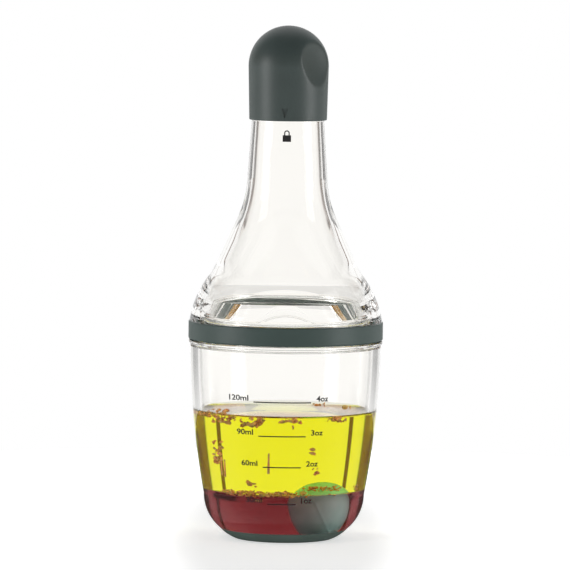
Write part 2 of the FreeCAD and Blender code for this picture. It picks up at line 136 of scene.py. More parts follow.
@with_properties
class NeckSizes(bpy.types.PropertyGroup):
    """The clear neck with its skirt, the grip band and the ring gasket."""

    skirt_foot: (length, foot_of("neck"), "Height of the skirt's lower end")
    skirt_bore: (mm, 31.4, "Inner radius of the skirt")
    rebate: (mm, 33.3, "Outer radius of the skirt behind the band")
    band_radius: (length, reach("collar_band"), "Outer radius of the band")
    band_top: (length, top_of("collar_band"), "Height of the band's upper edge")
    band_round: (mm, 0.5, "Rounding of the band's edges")
    band_play: (mm, 0.1, "Gap between the band and the skirt")
    shoulder: (length, reach("neck"), "Radius of the neck above the band")
    dome_round: (mm, 37.0, "Radius of the shoulder's outer curve")
    dome_radius: (mm, 26.3, "Radius where the shoulder meets the flare")
    dome_top: (mm, 96.5, "Height where the shoulder meets the flare")
    inner_dome_round: (mm, 18.0, "Radius of the shoulder's inner curve")
    inner_dome_foot: (mm, 85.6, "Height where the shoulder's inner curve ends")
    flare_wall: (mm, 3.0, "Wall at the foot of the flare")
    throat: (mm, 14.9, "Radius towards which the flare runs")
    throat_height: (mm, 122.0, "Height where flare and tube would meet")
    throat_round: (mm, 37.0, "Radius that joins the flare and the tube")
    inner_throat_drop: (mm, 4.0, "How much lower the inner bend lies")
    inner_throat_round: (mm, 60.0, "Radius of the inner bend")
    tube: (mm, 13.0, "Radius of the tube under the cap")
    tube_wall: (mm, 1.8, "Thickness of the tube")
    ledge: (mm, 150.4, "Height where the tube goes under the cap")
    tube_lap: (mm, 2.8, "How far the tube reaches up inside the cap's edge")
    finish: (mm, 10.9, "Radius of the threaded mouth")
    finish_bore: (mm, 9.4, "Bore of the threaded mouth")
    mouth: (length, top_of("neck"), "Height of the mouth")
    funnel_rise: (mm, 1.2, "How far the inner funnel reaches above the tube")
    funnel_drop: (mm, 1.6, "How far the inner funnel starts below the tube's end")
    gasket_bore: (mm, 28.5, "Inner radius of the neck above the gasket")
    gasket_cover: (mm, 0.4, "How far the neck's lip reaches past the gasket")
    relief: (mm, 1.0, "Depth of the groove beside the gasket's seat")
    gasket_radius: (length, reach("neck_gasket"), "Outer radius of the gasket")
    gasket_foot: (length, foot_of("neck_gasket"), "Height of the gasket's underside")
    gasket_top: (length, top_of("neck_gasket"), "Height of the gasket's upper face")
    gasket_lip: (mm, 26.5, "Inner radius of the gasket's lip")
    gasket_lip_height: (mm, 0.8, "Thickness of the gasket's lip")
    gasket_round: (mm, 0.2, "Rounding of the gasket's edges")
    gasket_gap: (mm, 0.05, "Film of air between the gasket and what it seals")


@with_properties
class CapSizes(bpy.types.PropertyGroup):
    """The domed outer cap."""

    edge: (mm, 13.95, "Radius of the cap's lower edge")
    edge_round: (mm, 0.3, "Rounding of the lower edge")
    skirt: (mm, 13.15, "Inner radius of the cap's edge round the neck's tube")
    skirt_top: (mm, 153.5, "Height of the step over the neck's tube")
    bore: (mm, 12.8, "Radius of the bore round the liner")
    foot: (length, foot_of("cap_shell"), "Height of the lower edge")
    radius: (mm, 14.4, "Largest radius, at the foot of the dome")
    dome_rise: (mm, 14.4, "Height of the dome")
    top: (length, top_of("cap_shell"), "Height of the dome's top")
    crown: (mm, 4.5, "Thickness of the dome's top")
    cavity: (mm, 9.5, "Radius of the hollow under the dome")
    cavity_foot: (mm, 171.5, "Height where the hollow's roof starts")
    cavity_skirt: (mm, 3.2, "Height of the hollow's straight side")
    step_radius: (mm, 12.0, "Radius of the inner step over the liner")
    step_height: (mm, 166.1, "Height of the inner step")
    sleeve_top: (mm, 161.0, "Height where the bore ends")
    spacing: (mm, 0.4, "Distance between the mesh's rings where the scoops are pressed")
    scoop_round: (mm, 40.0, "Radius of a finger scoop")
    scoop_depth: (mm, 2.4, "Depth of a finger scoop")
    scoop_lift: (mm, 20.3, "Height of the scoop's middle over the lower edge")
    scoop_tilt: (angle, 10.0, "How far a scoop leans upwards")
    scoop_azimuth: (angle, 49.0, "Direction of the first scoop, to the right of the front")
    scoop_count: (count, 2, "Scoops round the cap")
    scoop_blend: (mm, 0.35, "Softness of a scoop's border")
    pointer_turn: (angle, -5.0, "Direction of the pointer, to the right of the front")
    pointer_width: (mm, 2.4, "Width of the engraved pointer")
    pointer_height: (mm, 3.6, "Height of the engraved pointer")
    pointer_lift: (mm, 0.9, "Height of the pointer's tip over the lower edge")
    pointer_depth: (mm, 0.4, "Depth of the engraving")


@with_properties
class DressingSizes(bpy.types.PropertyGroup):
    """The layers of oil and vinegar, the mixing ball and the herbs."""

    oil_top: (mm, 45.8, "Height of the oil's surface")
    vinegar_top: (mm, 18.0, "Height of the vinegar's surface")
    soak: (mm, 0.04, "How far a liquid reaches into what holds it, so that no gap shows")
    meniscus: (mm, 1.0, "How far the surface climbs the wall")
    meniscus_reach: (mm, 1.3, "How quickly the climb dies away from the wall")
    ball_seam: (mm, 0.12, "Height of the ball's moulding seam")
    ball_seam_width: (mm, 0.5, "Width of the ball's moulding seam")
    ball_tilt: (angle, 62.0, "How far the ball's seam leans from level")
    flake: (mm, 1.15, "Middle radius of a herb flake")
    flake_thickness: (mm, 0.2, "Thickness of a herb flake")
    crumb: (mm, 0.6, "Middle radius of a crumb on the vinegar")
    seed: (count, 7, "Number that fixes how the herbs lie")


@with_properties
class PrintSizes(bpy.types.PropertyGroup):
    """The printed scale on the cup and the padlock sign on the neck."""

    ink: (mm, 0.02, "Thickness of the print")
    lift: (mm, 0.015, "Gap under the print's middle plane")
    scale_turn: (angle, -1.6, "Direction of the scale, to the right of the front")
    line_height: (mm, 0.42, "Height of a scale line")
    letter_height: (mm, 2.05, "Height of the figures")
    letter_weight: (mm, 0.05, "How much the letters are thickened")
    label_rise: (mm, 0.35, "How far the figures stand over their line")
    lock_height: (mm, 143.4, "Height of the padlock's underside")
    lock_width: (mm, 3.0, "Width of the padlock's body")
    lock_body: (mm, 2.35, "Height of the padlock's body")
    shackle_radius: (mm, 1.0, "Outer radius of the shackle")
    shackle_bar: (mm, 0.42, "Thickness of the shackle")
    shackle_leg: (mm, 0.75, "Height of the shackle's straight legs")


@with_properties
class Finishes(bpy.types.PropertyGroup):
    """Colours and gloss of the finishes."""

    cap_green: (colour, (0.058, 0.082, 0.078), "Moulded cap")
    band_green: (colour, (0.055, 0.090, 0.082), "Grip band")
    foot_green: (colour, (0.076, 0.110, 0.094), "Rubber foot")
    silicone: (colour, (0.96, 0.97, 0.965), "Clear silicone of the ring gasket")
    seal_pale: (colour, (0.57, 0.60, 0.57), "Cap seal")
    ball_mint: (colour, (0.33, 0.76, 0.68), "Mixing ball")
    closure_green: (colour, (0.040, 0.056, 0.053), "Pouring spout and cap liner")
    clear: (colour, (1.0, 0.992, 0.972), "Clear plastic")
    clear_haze: (factor, 0.01, "Roughness of the clear plastic")
    oil: (colour, (0.965, 0.958, 0.04), "What the oil lets through")
    oil_density: (number, 75.0, "How strongly the oil colours light, per metre")
    vinegar: (colour, (0.60, 0.10, 0.14), "What the vinegar lets through")
    vinegar_density: (number, 95.0, "How strongly the vinegar colours light, per metre")
    ink: (colour, (0.012, 0.012, 0.014), "Printed scale and sign")
    clear_index: (number, 1.5, "Refractive index of the clear plastic")
    silicone_index: (number, 1.41, "Refractive index of the clear silicone")
    oil_index: (number, 1.47, "Refractive index of the oil")
    vinegar_index: (number, 1.345, "Refractive index of the vinegar")


@with_properties
class StageSizes(bpy.types.PropertyGroup):
    """Camera, floor and studio light."""

    distance: (length, 1.9, "Distance of the camera")
    view_height: (length, 0.0912, "Height that the camera looks at")
    view_side: (length, -0.00043, "How far to the right the camera looks")
    tilt: (angle, 4.35, "How far the camera looks down")
    roll: (angle, 0.66, "How far the camera is turned about its line of sight")
    focal_pixels: (number, 5281.0, "Focal length in pixels of the picture")
    picture: (count, 570, "Width and height of the picture in pixels")
    floor_radius: (length, 0.30, "Radius of the pale floor")
    lamp_azimuth: (angle, 68.0, "Direction of the two lamps from the camera's side")
    lamp_distance: (length, 0.9, "Distance of the lamps")
    lamp_height: (length, 0.2, "Height of the lamps")
    lamp_width: (length, 0.36, "Width of a lamp")
    lamp_tall: (length, 0.42, "Height of a lamp's face")
    lamp_power: (number, 2.4, "Power of a lamp in watts")


SETTINGS = {
    "bottle_cup": CupSizes,
    "bottle_neck": NeckSizes,
    "bottle_cap": CapSizes,
    "bottle_dressing": DressingSizes,
    "bottle_print": PrintSizes,
    "bottle_finish": Finishes,
    "bottle_stage": StageSizes,
}


# Outlines and meshes

def corner(radius, height, rounding=0.0, bow=0.0):
    """A corner of a turned outline, with its rounding and the arc radius of the edge that leaves it."""
    return Vector((radius, height)), rounding, bow


def arc(start, end, radius):
    """The points after the start of an arc that bulges out of the solid, or into it for a negative radius."""
    chord = end - start
    side = math.copysign(1.0, radius)
    inward = Vector((-chord.y, chord.x)).normalized() * side
    centre = (start + end) / 2 + inward * math.sqrt(max(radius ** 2 - chord.length_squared / 4, 0.0))
    sweep = 2 * math.asin(min(1.0, chord.length / 2 / abs(radius))) * side
    steps = max(4, math.ceil(abs(sweep) / (2 * math.acos(1 - ARC_SLACK / abs(radius)))))
    spoke = start - centre
    return [centre + Matrix.Rotation(sweep * step / steps, 2) @ spoke for step in range(1, steps + 1)]


def straight(start, end, spacing):
    """The points after the start of a straight edge, with one close to each end to hold its shading."""
    reach_along = (end - start).length
    if reach_along < 4 * SUPPORT:
        return [end]
    steps = max(1, round(reach_along / spacing))
    marks = {SUPPORT, reach_along - SUPPORT, reach_along}
    marks.update(reach_along * step / steps for step in range(1, steps)
                 if SUPPORT < reach_along * step / steps < reach_along - SUPPORT)
    return [start.lerp(end, mark / reach_along) for mark in sorted(marks)]


def edge_points(start, end, bow, spacing):
    return arc(start, end, bow) if bow else straight(start, end, spacing)


def outline(corners, closed=True, spacing=6 * MM):
    """The points of a turned outline that runs anticlockwise round its solid."""
    total = len(corners)
    places = [place for place, _, _ in corners]
    entries = list(places)
    exits = list(places)
    for here, (place, rounding, _) in enumerate(corners):
        if rounding:
            back = (places[here - 1] - place).normalized()
            ahead = (places[(here + 1) % total] - place).normalized()
            run = rounding / math.tan(back.angle(ahead) / 2)
            entries[here] = place + back * run
            exits[here] = place + ahead * run
    points = [] if closed else [places[0]]
    for here in range(0 if closed else 1, total):
        _, rounding, _ = corners[here]
        before = corners[here - 1]
        points += edge_points(exits[here - 1], entries[here], before[2], spacing)
        if rounding:
            turn = (places[here] - entries[here]).cross(exits[here] - places[here])
            points += arc(entries[here], exits[here], math.copysign(rounding, turn))
    return points


def turn_outline(points, closed=True, steps=160):
    """A mesh turned about the bottle's axis."""
    mesh = bmesh.new()
    verts = [mesh.verts.new((point.x, 0.0, point.y)) for point in points]
    edges = [mesh.edges.new(pair) for pair in zip(verts, verts[1:])]
    if closed:
        edges.append(mesh.edges.new((verts[-1], verts[0])))
    bmesh.ops.spin(
        mesh, geom=verts + edges, cent=(0, 0, 0), axis=(0, 0, 1), dvec=(0, 0, 0),
        angle=TURN, steps=steps, use_merge=True)
    close_mesh(mesh)
    return mesh


def close_mesh(mesh):
    bmesh.ops.remove_doubles(mesh, verts=mesh.verts, dist=MERGE)
    bmesh.ops.dissolve_degenerate(mesh, dist=MERGE, edges=mesh.edges)
    bmesh.ops.recalc_face_normals(mesh, faces=mesh.faces)


def rotate(mesh, turn, axis):
    bmesh.ops.rotate(mesh, verts=mesh.verts, cent=(0, 0, 0), matrix=Matrix.Rotation(turn, 3, axis))


# Screw ridges, in millimetres: height of the start, rise in one turn, depth, widths at root and crest; turns
THREADS = {
    "cup": ((74.0, 3.0, 1.1, 1.3, 0.7), 1.0),
    "skirt": ((72.5, 3.0, 1.1, 1.3, 0.7), 1.5),
    "mouth": ((157.4, 8.0, 0.7, 1.5, 0.9), 0.4167),
}
THREAD_SINK = 0.3 * MM
THREAD_STEPS = 96
MOUTH_STARTS = 2


def screw_ridge(place, wall, side, start=0.0):
    """A closed screw ridge on a wall's outer side, or on its inner side where the side is -1."""
    sizes, turns = THREADS[place]
    height, lead, depth, root_width, crest_width = (size * MM for size in sizes)
    steps = round(turns * THREAD_STEPS)
    root = (wall - side * THREAD_SINK, root_width / 2)
    crest = (wall + side * depth, crest_width / 2)
    section = [(root[0], -root[1]), (crest[0], -crest[1]), crest, root]
    mesh = bmesh.new()
    verts = [mesh.verts.new((radius, 0.0, height + up)) for radius, up in section]
    edges = [mesh.edges.new(pair) for pair in zip(verts, verts[1:] + verts[:1])]
    bmesh.ops.spin(
        mesh, geom=verts + edges, cent=(0, 0, 0), axis=(0, 0, 1), angle=TURN * turns, steps=steps,
        dvec=(0, 0, lead * turns / steps), use_merge=False)
    bmesh.ops.holes_fill(mesh, edges=[edge for edge in mesh.edges if edge.is_boundary], sides=4)
    bmesh.ops.recalc_face_normals(mesh, faces=mesh.faces)
    rotate(mesh, start, "Z")
    return link_mesh(f"{place}_ridge", mesh)


def link_mesh(name, mesh):
    """A new object of the scene that holds a mesh."""
    data = bpy.data.meshes.new(name)
    mesh.to_mesh(data)
    mesh.free()
    thing = bpy.data.objects.new(name, data)
    bpy.context.scene.collection.objects.link(thing)
    return thing


def turned(name, corners, closed=True):
    """An object turned about the bottle's axis from the corners of its outline."""
    return link_mesh(name, turn_outline(outline(corners, closed), closed))


def combine(thing, cutters, operation):
    """Join other closed meshes to an object, or cut them out of it, and drop them."""
    for cutter in cutters:
        modifier = thing.modifiers.new("combine", "BOOLEAN")
        modifier.object = cutter
        modifier.operation = operation
        modifier.solver = "EXACT"
    shaped = bpy.data.meshes.new_from_object(thing.evaluated_get(bpy.context.evaluated_depsgraph_get()))
    old = thing.data
    thing.modifiers.clear()
    thing.data = shaped
    shaped.name = thing.name
    bpy.data.meshes.remove(old)
    for cutter in cutters:
        data = cutter.data
        bpy.data.objects.remove(cutter)
        bpy.data.meshes.remove(data)


def finish_piece(piece, body, material, stands_for=()):
    """Smooth a piece, give it its finish and tie it to the frame."""
    piece.data.materials.clear()
    piece.data.materials.append(material)
    piece.data.shade_smooth()
    piece.data.set_sharp_from_angle(angle=SHARP_EDGE)
    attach(piece, body)
    if stands_for:
        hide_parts(*stands_for)
    return piece


def smooth_copy(node, name):
    """A welded copy of a frame node, so that its shading runs smoothly over its facets."""
    mesh = bmesh.new()
    mesh.from_mesh(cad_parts[node].data)
    bmesh.ops.remove_doubles(mesh, verts=mesh.verts, dist=MERGE)
    return link_mesh(name, mesh)


# Finishes

# Between these values lies most of a noise pattern
GRAIN_LOW = 0.3
GRAIN_HIGH = 0.7


def new_finish(name):
    material = bpy.data.materials.new(name)
    material.use_nodes = True
    tree = material.node_tree
    return material, tree, tree.nodes["Principled BSDF"]


def feed(node, *by_place, **by_name):
    """Give a node's sockets values or links, in order or by name; an underscore stands for a space."""
    fed = list(zip(node.inputs, by_place))
    fed += [(node.inputs[name.replace("_", " ")], value) for name, value in by_name.items()]
    for socket, value in fed:
        if isinstance(value, bpy.types.NodeSocket):
            node.id_data.links.new(value, socket)
        else:
            socket.default_value = value


def add_node(tree, kind, *by_place, **by_name):
    """A new shader node with its sockets fed."""
    node = tree.nodes.new(f"ShaderNode{kind}")
    feed(node, *by_place, **by_name)
    return node


def object_place(tree):
    return add_node(tree, "TexCoord").outputs["Object"]


def grain(tree, scale, detail=2.0, stretch=(1.0, 1.0, 1.0)):
    """A noise pattern in object coordinates; the scale counts grains in a metre."""
    mapping = add_node(tree, "Mapping", Vector=object_place(tree), Scale=stretch)
    noise = add_node(tree, "TexNoise", Vector=mapping.outputs["Vector"], Scale=scale, Detail=detail)
    return noise.outputs["Fac"]


def spread(tree, source, low, high):
    """A pattern's values spread over a range."""
    ranged = add_node(
        tree, "MapRange", Value=source, From_Min=GRAIN_LOW, From_Max=GRAIN_HIGH, To_Min=low, To_Max=high)
    return ranged.outputs["Result"]


def ramp(tree, source, stops):
    """A pattern painted with colours at places from 0 to 1."""
    node = add_node(tree, "ValToRGB", Fac=source)
    elements = node.color_ramp.elements
    while len(elements) < len(stops):
        elements.new(1.0)
    for element, (place, shade_there) in zip(elements, stops):
        element.position = place
        element.color = (*shade_there, 1.0)
    return node.outputs["Color"]


def two_tone(tree, source, low, high):
    """A pattern painted with two colours."""
    return ramp(tree, source, [(GRAIN_LOW, low), (GRAIN_HIGH, high)])


def bump(tree, source, distance, strength):
    return add_node(tree, "Bump", Height=source, Distance=distance, Strength=strength).outputs["Normal"]


def shade(colours, share):
    return tuple(min(1.0, channel * share) for channel in colours)


# Moulded finishes: colour, gloss, grains in a metre and depth of the grain in millimetres
MOULDED = {
    "foot rubber": ("foot_green", 0.5, 2600.0, 0.03),
    "band plastic": ("band_green", 0.45, 3000.0, 0.02),
    "cap plastic": ("cap_green", 0.42, 3000.0, 0.02),
    "closure plastic": ("closure_green", 0.35, 1800.0, 0.01),
    "seal silicone": ("seal_pale", 0.45, 2200.0, 0.01),
    "ball silicone": ("ball_mint", 0.5, 1500.0, 0.02),
}


def moulded(name, finishes):
    """A coloured moulded surface with a fine matt grain."""
    tint, gloss, grains, relief = MOULDED[name]
    base = getattr(finishes, tint)
    material, tree, shader = new_finish(name)
    blotch = grain(tree, 90.0, 3.0)
    fine = grain(tree, grains, 4.0)
    feed(shader, Base_Color=two_tone(tree, blotch, shade(base, 0.94), shade(base, 1.06)),
         Roughness=spread(tree, fine, gloss - 0.05, gloss + 0.05), Normal=bump(tree, fine, relief * MM, 0.5))
    return material


def clear_plastic(name, base, index, haze):
    """Clear moulded plastic with a trace of flow in its tint and gloss."""
    material, tree, shader = new_finish(name)
    flow = grain(tree, 60.0, 2.0, (1.0, 1.0, 0.3))
    feed(shader, Transmission_Weight=1.0, IOR=index, Specular_Tint=(0.3, 0.3, 0.3, 1.0),
         Base_Color=two_tone(tree, flow, shade(base, 0.985), base),
         Roughness=spread(tree, flow, 0.9 * haze, haze))
    return material


def liquid(name, index, passed, density, haze):
    """A clear liquid that colours the light that goes through it."""
    material, tree, shader = new_finish(name)
    swirl = grain(tree, 120.0)
    feed(shader, Transmission_Weight=1.0, IOR=index, Specular_Tint=(0.0, 0.0, 0.0, 1.0),
         Base_Color=two_tone(tree, swirl, (0.985, 0.985, 0.98), WHITE),
         Roughness=spread(tree, swirl, 0.0, haze))
    inside = add_node(tree, "VolumeAbsorption", Color=(*passed, 1.0), Density=density)
    feed(tree.nodes["Material Output"], Volume=inside.outputs["Volume"])
    return material


def printing_ink(name, base):
    material, tree, shader = new_finish(name)
    cover = grain(tree, 2500.0)
    feed(shader, Base_Color=ramp(tree, cover, [(GRAIN_LOW, base), (0.75, shade(base, 2.2))]),
         Roughness=spread(tree, cover, 0.4, 0.6))
    return material


def dried_herb(name, stops, gloss):
    """Dried herbs whose colour changes from flake to flake."""
    material, tree, shader = new_finish(name)
    veins = grain(tree, 3200.0, 3.0)
    feed(shader, Base_Color=ramp(tree, grain(tree, 420.0, 3.0), stops),
         Roughness=spread(tree, veins, gloss - 0.1, gloss + 0.1), Normal=bump(tree, veins, 0.05 * MM, 0.6))
    return material


# Clear shells and what sits on them

def cup_corners(sizes):
    """The cup's outline, from the middle of its underside to the middle of its floor."""
    side = sizes.flange - sizes.flange_proud
    flange_foot = sizes.flange_top - sizes.flange_height
    collar = side - sizes.collar_inset
    collar_bore = collar - sizes.collar_wall
    bore = side - sizes.wall
    shelf = sizes.flange_top - sizes.shelf_depth
    floor = sizes.bed + sizes.floor
    return [
        corner(0.0, sizes.bed),
        corner(sizes.foot_base - sizes.foot_lip, sizes.bed),
        corner(sizes.foot_radius - sizes.foot_lip, sizes.foot_height),
        corner(sizes.foot_radius, sizes.foot_height, bow=sizes.corner_round),
        corner(sizes.waist, sizes.waist_height, bow=sizes.side_round),
        corner(side, flange_foot),
        corner(sizes.flange, flange_foot, sizes.flange_round),
        corner(sizes.flange, sizes.flange_top, sizes.flange_round),
        corner(collar, sizes.flange_top),
        corner(collar, sizes.rim, sizes.rim_round),
        corner(collar_bore, sizes.rim, sizes.rim_round),
        corner(collar_bore, shelf, sizes.shelf_round),
        corner(bore, shelf, bow=-sizes.side_round),
        corner(sizes.waist - sizes.wall, sizes.waist_height, bow=-sizes.bowl_round),
        corner(sizes.floor_radius, floor),
        corner(0.0, floor),
    ]


# Bends between the shoulder and the flare, in millimetres: how far the bend starts outside and below the
# place where both meet, how far it ends inside and above it, and its radius
OUTER_BEND = (1.5, 1.9, 1.3, 2.9, 25.0)
INNER_BEND = (1.5, 1.7, 1.55, 3.3, 27.0)


def bend(radius, height, sizes):
    """The start, the end and the radius of a bend round a meeting place."""
    out, drop, inwards, rise, bow = (size * MM for size in sizes)
    return (radius + out, height - drop), (radius - inwards, height + rise), bow


def neck_corners(sizes):
    """The neck's outline, from the skirt's bore over the shoulder to the mouth and back inside."""
    seat = sizes.gasket_top
    groove = seat + sizes.relief
    seat_radius = sizes.gasket_radius + sizes.gasket_cover
    low, high, bow = bend(sizes.dome_radius, sizes.dome_top, OUTER_BEND)
    inner_low, inner_high, inner_bow = bend(sizes.dome_radius - sizes.flare_wall, sizes.dome_top, INNER_BEND)
    tube_top = sizes.ledge + sizes.tube_lap
    return [
        corner(sizes.skirt_bore, sizes.skirt_foot),
        corner(sizes.rebate, sizes.skirt_foot),
        corner(sizes.rebate, sizes.band_top),
        corner(sizes.shoulder, sizes.band_top, bow=sizes.dome_round),
        corner(*low, bow=-bow),
        corner(*high),
        corner(sizes.throat, sizes.throat_height, sizes.throat_round),
        corner(sizes.tube, sizes.ledge),
        corner(sizes.tube, tube_top),
        corner(sizes.finish, tube_top),
        corner(sizes.finish, sizes.mouth),
        corner(sizes.finish_bore, sizes.mouth),
        corner(sizes.finish_bore, tube_top + sizes.funnel_rise),
        corner(sizes.tube - sizes.tube_wall, tube_top - sizes.funnel_drop),
        corner(sizes.throat - sizes.tube_wall, sizes.throat_height - sizes.inner_throat_drop,
               sizes.inner_throat_round),
        corner(*inner_high, bow=inner_bow),
        corner(*inner_low, bow=-sizes.inner_dome_round),
        corner(sizes.gasket_bore, sizes.inner_dome_foot),
        corner(sizes.gasket_bore, seat),
        corner(seat_radius, seat),
        corner(seat_radius, groove),
        corner(sizes.skirt_bore, groove),
    ]


class BOTTLE_OT_cup(bpy.types.Operator):
    """Build the clear cup with its bead and its screw ridge"""

    bl_idname = "bottle.cup"
    bl_label = "Clear cup"

    def execute(self, context):
        scene = context.scene
        sizes = scene.bottle_cup
        cup = turned("cup_clear", cup_corners(sizes), closed=False)
        collar = sizes.flange - sizes.flange_proud - sizes.collar_inset
        combine(cup, [screw_ridge("cup", collar, 1)], "UNION")
        finishes = scene.bottle_finish
        plastic = clear_plastic("cup plastic", finishes.clear, finishes.clear_index, finishes.clear_haze)
        finish_piece(cup, "cup_body", plastic, ["cup"])
        cup.visible_shadow = False
        return {"FINISHED"}


class BOTTLE_OT_foot(bpy.types.Operator):
    """Build the non-slip foot under the cup"""

    bl_idname = "bottle.foot"
    bl_label = "Foot"

    def execute(self, context):
        scene = context.scene
        sizes = scene.bottle_cup
        seat_out = sizes.foot_radius - sizes.foot_lip + sizes.seat_play
        seat_in = sizes.foot_base - sizes.foot_lip + sizes.seat_play
        foot = turned("foot_pad", [
            corner(0.0, 0.0),
            corner(sizes.foot_base, 0.0, bow=sizes.foot_round),
            corner(sizes.foot_radius, sizes.foot_height),
            corner(seat_out, sizes.foot_height),
            corner(seat_in, sizes.bed),
            corner(0.0, sizes.bed),
        ], closed=False)
        rubber = moulded("foot rubber", scene.bottle_finish)
        finish_piece(foot, "cup_body", rubber, ["foot"])
        return {"FINISHED"}


class BOTTLE_OT_neck(bpy.types.Operator):
    """Build the clear neck with the screw ridges of its skirt and its mouth"""

    bl_idname = "bottle.neck"
    bl_label = "Clear neck"

    def execute(self, context):
        scene = context.scene
        sizes = scene.bottle_neck
        neck = turned("neck_clear", neck_corners(sizes))
        ridges = [screw_ridge("skirt", sizes.skirt_bore, -1)]
        for start in range(MOUTH_STARTS):
            ridges.append(screw_ridge("mouth", sizes.finish, 1, TURN * start / MOUTH_STARTS))
        combine(neck, ridges, "UNION")
        finishes = scene.bottle_finish
        plastic = clear_plastic("neck plastic", finishes.clear, finishes.clear_index, finishes.clear_haze)
        finish_piece(neck, "neck_body", plastic, ["neck"])
        neck.visible_shadow = False
        return {"FINISHED"}


class BOTTLE_OT_band(bpy.types.Operator):
    """Build the grip band round the neck's skirt"""

    bl_idname = "bottle.band"
    bl_label = "Grip band"

    def execute(self, context):
        scene = context.scene
        sizes = scene.bottle_neck
        inner = sizes.rebate + sizes.band_play
        band = turned("grip_band", [
            corner(inner, sizes.skirt_foot),
            corner(sizes.band_radius, sizes.skirt_foot, sizes.band_round),
            corner(sizes.band_radius, sizes.band_top, sizes.band_round),
            corner(inner, sizes.band_top),
        ])
        soft = moulded("band plastic", scene.bottle_finish)
        finish_piece(band, "neck_body", soft, ["collar_band"])
        return {"FINISHED"}


class BOTTLE_OT_gasket(bpy.types.Operator):
    """Build the ring gasket between the cup's rim and the neck"""

    bl_idname = "bottle.gasket"
    bl_label = "Ring gasket"

    def execute(self, context):
        scene = context.scene
        sizes = scene.bottle_neck
        low = sizes.gasket_foot + sizes.gasket_gap
        high = sizes.gasket_top - sizes.gasket_gap
        gasket = turned("ring_gasket", [
            corner(sizes.gasket_lip, low, sizes.gasket_round),
            corner(sizes.gasket_radius, low, sizes.gasket_round),
            corner(sizes.gasket_radius, high, sizes.gasket_round),
            corner(sizes.gasket_bore, high, sizes.gasket_round),
            corner(sizes.gasket_lip, sizes.gasket_foot + sizes.gasket_lip_height, sizes.gasket_round),
        ])
        finishes = scene.bottle_finish
        silicone = clear_plastic("gasket silicone", finishes.silicone, finishes.silicone_index, haze=0.10)
        finish_piece(gasket, "gasket_body", silicone, ["neck_gasket"])
        gasket.visible_shadow = False
        return {"FINISHED"}


# Cap and closure

def press_scoops(mesh, sizes):
    """Press the round finger scoops into the cap's outer face."""
    spread_out = sizes.radius - sizes.scoop_depth + sizes.scoop_round * math.cos(sizes.scoop_tilt)
    height = sizes.foot + sizes.scoop_lift + sizes.scoop_round * math.sin(sizes.scoop_tilt)
    for turn in range(sizes.scoop_count):
        azimuth = sizes.scoop_azimuth + TURN * turn / sizes.scoop_count
        centre = Vector((spread_out * math.sin(azimuth), -spread_out * math.cos(azimuth), height))
        for vert in mesh.verts:
            spoke = vert.co - centre
            gap = spoke.length - sizes.scoop_round
            if gap < 4 * sizes.scoop_blend:
                kept = (gap + math.hypot(gap, sizes.scoop_blend)) / 2
                vert.co = centre + spoke.normalized() * (sizes.scoop_round + kept)


def pointer_prism(sizes):
    """The prism that engraves the pointer in the cap's front."""
    tip = sizes.foot + sizes.pointer_lift
    rise = (tip + sizes.pointer_height / 2 - sizes.foot) / (sizes.top - sizes.dome_rise - sizes.foot)
    face = sizes.edge + (sizes.radius - sizes.edge) * rise
    depth = face - sizes.pointer_depth
    mesh = bmesh.new()
    half = sizes.pointer_width / 2
    verts = [mesh.verts.new((across, -depth, up)) for across, up in (
        (0.0, tip), (half, tip + sizes.pointer_height), (-half, tip + sizes.pointer_height))]
    grown = bmesh.ops.extrude_face_region(mesh, geom=[mesh.faces.new(verts)])
    outer = [part for part in grown["geom"] if isinstance(part, bmesh.types.BMVert)]
    bmesh.ops.translate(mesh, verts=outer, vec=(0.0, -3 * sizes.pointer_depth, 0.0))
    bmesh.ops.recalc_face_normals(mesh, faces=mesh.faces)
    rotate(mesh, sizes.pointer_turn, "Z")
    return mesh


class BOTTLE_OT_cap(bpy.types.Operator):
    """Build the domed cap with its finger scoops and its pointer"""

    bl_idname = "bottle.cap"
    bl_label = "Domed cap"

    def execute(self, context):
        scene = context.scene
        sizes = scene.bottle_cap
        crown = sizes.top - sizes.crown
        rise = crown - sizes.cavity_foot
        points = outline([
            corner(0.0, crown, bow=-(sizes.cavity ** 2 + rise ** 2) / (2 * rise)),
            corner(sizes.cavity, sizes.cavity_foot),
            corner(sizes.cavity, sizes.cavity_foot - sizes.cavity_skirt),
            corner(sizes.step_radius, sizes.step_height),
            corner(sizes.bore, sizes.sleeve_top),
            corner(sizes.bore, sizes.skirt_top),
            corner(sizes.skirt, sizes.skirt_top),
            corner(sizes.skirt, sizes.foot),
            corner(sizes.edge, sizes.foot, sizes.edge_round),
            corner(sizes.radius, sizes.top - sizes.dome_rise, bow=sizes.dome_rise),
            corner(0.0, sizes.top),
        ], closed=False, spacing=sizes.spacing)
        mesh = turn_outline(points, closed=False, steps=256)
        press_scoops(mesh, sizes)
        bmesh.ops.recalc_face_normals(mesh, faces=mesh.faces)
        cap = link_mesh("dome_cap", mesh)
        combine(cap, [link_mesh("cap_pointer", pointer_prism(sizes))], "DIFFERENCE")
        plastic = moulded("cap plastic", scene.bottle_finish)
        finish_piece(cap, "cap_body", plastic, ["cap_shell"])
        return {"FINISHED"}


class BOTTLE_OT_closure(bpy.types.Operator):
    """Finish the spout, the liner and the seal that the cap hides"""

    bl_idname = "bottle.closure"
    bl_label = "Spout, liner and seal"

    def execute(self, context):
        finishes = context.scene.bottle_finish
        green = moulded("closure plastic", finishes)
        pale = moulded("seal silicone", finishes)
        for node, name, body, slot, material in (
                ("pour_spout", "spout_insert", "neck_body", "spout_plastic", green),
                ("cap_liner", "cap_sleeve", "cap_body", "liner_plastic", green),
                ("cap_seal", "nozzle_seal", "seal_body", "seal_silicone", pale)):
            finish_piece(smooth_copy(node, name), body, material, [node])
        return {"FINISHED"}


# Dressing

